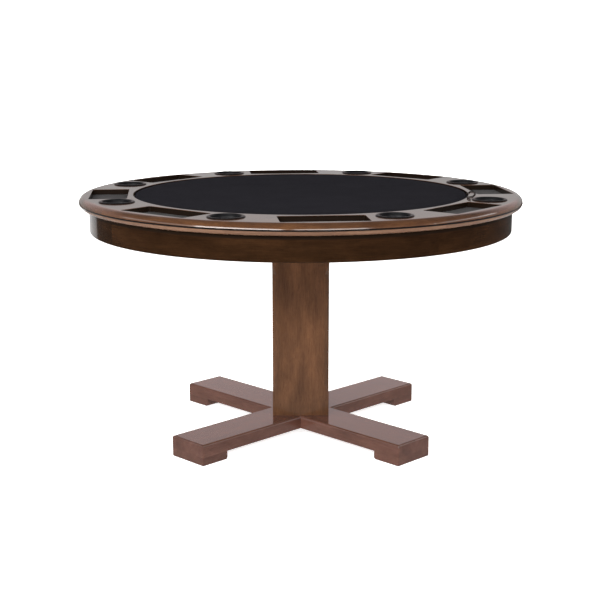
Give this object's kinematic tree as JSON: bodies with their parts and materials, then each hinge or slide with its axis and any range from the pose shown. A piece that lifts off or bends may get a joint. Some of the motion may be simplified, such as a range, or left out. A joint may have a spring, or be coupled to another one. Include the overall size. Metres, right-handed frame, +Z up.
{
  "type": "gaming table",
  "caption": "Round pedestal card table: lift-out black cloth play panel, lacquered ring with chip trays and drop-in cup holders, square column, crossed beam base.",
  "frame": {"origin": "on the floor, under the centre of the table", "axes": "+Z up along the column; -Y is the side seen from the front; +X to the right of it"},
  "size_m": [1.372, 1.372, 0.7752],
  "materials": {
    "dark_walnut_lacquer": "gloss dark walnut lacquer over open grain",
    "glide_plastic": "matt moulded",
    "zinc_steel": "zinc plated",
    "raw_timber": "planed and unfinished",
    "insert_brass": "turned",
    "plywood": "sanded plywood, unfinished",
    "ring_lacquer": "polished dark walnut lacquer",
    "tray_liner_cloth": "charcoal flock",
    "rim_lacquer": "gloss walnut lacquer",
    "apron_lacquer": "gloss dark walnut lacquer over veneer",
    "cup_plastic": "glossy black moulded",
    "foam": "closed-cell foam",
    "play_cloth": "black poker cloth, fine weave",
    "cord_nylon": "braided black nylon"
  },
  "bodies": {
    "table": {"lower_beam": "dark_walnut_lacquer", "upper_beam": "dark_walnut_lacquer", "foot_block_0": "dark_walnut_lacquer", "foot_block_1": "dark_walnut_lacquer", "foot_block_2": "dark_walnut_lacquer", "foot_block_3": "dark_walnut_lacquer", "foot_glides": "glide_plastic", "foot_screws": "zinc_steel", "column_board_front": "dark_walnut_lacquer", "column_board_right": "dark_walnut_lacquer", "column_board_back": "dark_walnut_lacquer", "column_board_left": "dark_walnut_lacquer", "column_glue_strips": "raw_timber", "column_foot_plug": "raw_timber", "column_head_plug": "raw_timber", "threaded_inserts": "insert_brass", "base_washers": "zinc_steel", "base_bolts": "zinc_steel", "head_plate": "plywood", "plug_screws": "zinc_steel", "plate_screws": "zinc_steel", "top_batten_x": "raw_timber", "top_batten_y": "raw_timber", "batten_screws": "zinc_steel", "deck_panel": "plywood", "ring_screws": "zinc_steel", "ring_segment_0": "ring_lacquer", "ring_segment_1": "ring_lacquer", "ring_segment_2": "ring_lacquer", "ring_segment_3": "ring_lacquer", "ring_segment_4": "ring_lacquer", "ring_segment_5": "ring_lacquer", "ring_segment_6": "ring_lacquer", "ring_segment_7": "ring_lacquer", "ring_splines": "raw_timber", "tray_liners": "tray_liner_cloth", "under_rim_0": "rim_lacquer", "under_rim_1": "rim_lacquer", "under_rim_2": "rim_lacquer", "under_rim_3": "rim_lacquer", "apron_0": "apron_lacquer", "apron_1": "apron_lacquer", "apron_2": "apron_lacquer", "apron_3": "apron_lacquer", "apron_blocks": "raw_timber"},
    "play_panel": {"play_board": "plywood", "foam_pad": "foam", "felt_cover": "play_cloth", "cover_staples": "zinc_steel", "pull_cord": "cord_nylon"},
    "cup_0": {"cup_holder_0": "cup_plastic"},
    "cup_1": {"cup_holder_1": "cup_plastic"},
    "cup_2": {"cup_holder_2": "cup_plastic"},
    "cup_3": {"cup_holder_3": "cup_plastic"},
    "cup_4": {"cup_holder_4": "cup_plastic"},
    "cup_5": {"cup_holder_5": "cup_plastic"},
    "cup_6": {"cup_holder_6": "cup_plastic"},
    "cup_7": {"cup_holder_7": "cup_plastic"}
  },
  "joints": [
    {"name": "play_panel_lift", "type": "slide", "parent": "table", "child": "play_panel", "axis": [0, 0, 1], "range_m": [0, 0.15]},
    {"name": "cup_0_lift", "type": "slide", "parent": "table", "child": "cup_0", "axis": [0, 0, 1], "range_m": [0, 0.09]},
    {"name": "cup_1_lift", "type": "slide", "parent": "table", "child": "cup_1", "axis": [0, 0, 1], "range_m": [0, 0.09]},
    {"name": "cup_2_lift", "type": "slide", "parent": "table", "child": "cup_2", "axis": [0, 0, 1], "range_m": [0, 0.09]},
    {"name": "cup_3_lift", "type": "slide", "parent": "table", "child": "cup_3", "axis": [0, 0, 1], "range_m": [0, 0.09]},
    {"name": "cup_4_lift", "type": "slide", "parent": "table", "child": "cup_4", "axis": [0, 0, 1], "range_m": [0, 0.09]},
    {"name": "cup_5_lift", "type": "slide", "parent": "table", "child": "cup_5", "axis": [0, 0, 1], "range_m": [0, 0.09]},
    {"name": "cup_6_lift", "type": "slide", "parent": "table", "child": "cup_6", "axis": [0, 0, 1], "range_m": [0, 0.09]},
    {"name": "cup_7_lift", "type": "slide", "parent": "table", "child": "cup_7", "axis": [0, 0, 1], "range_m": [0, 0.09]}
  ]
}
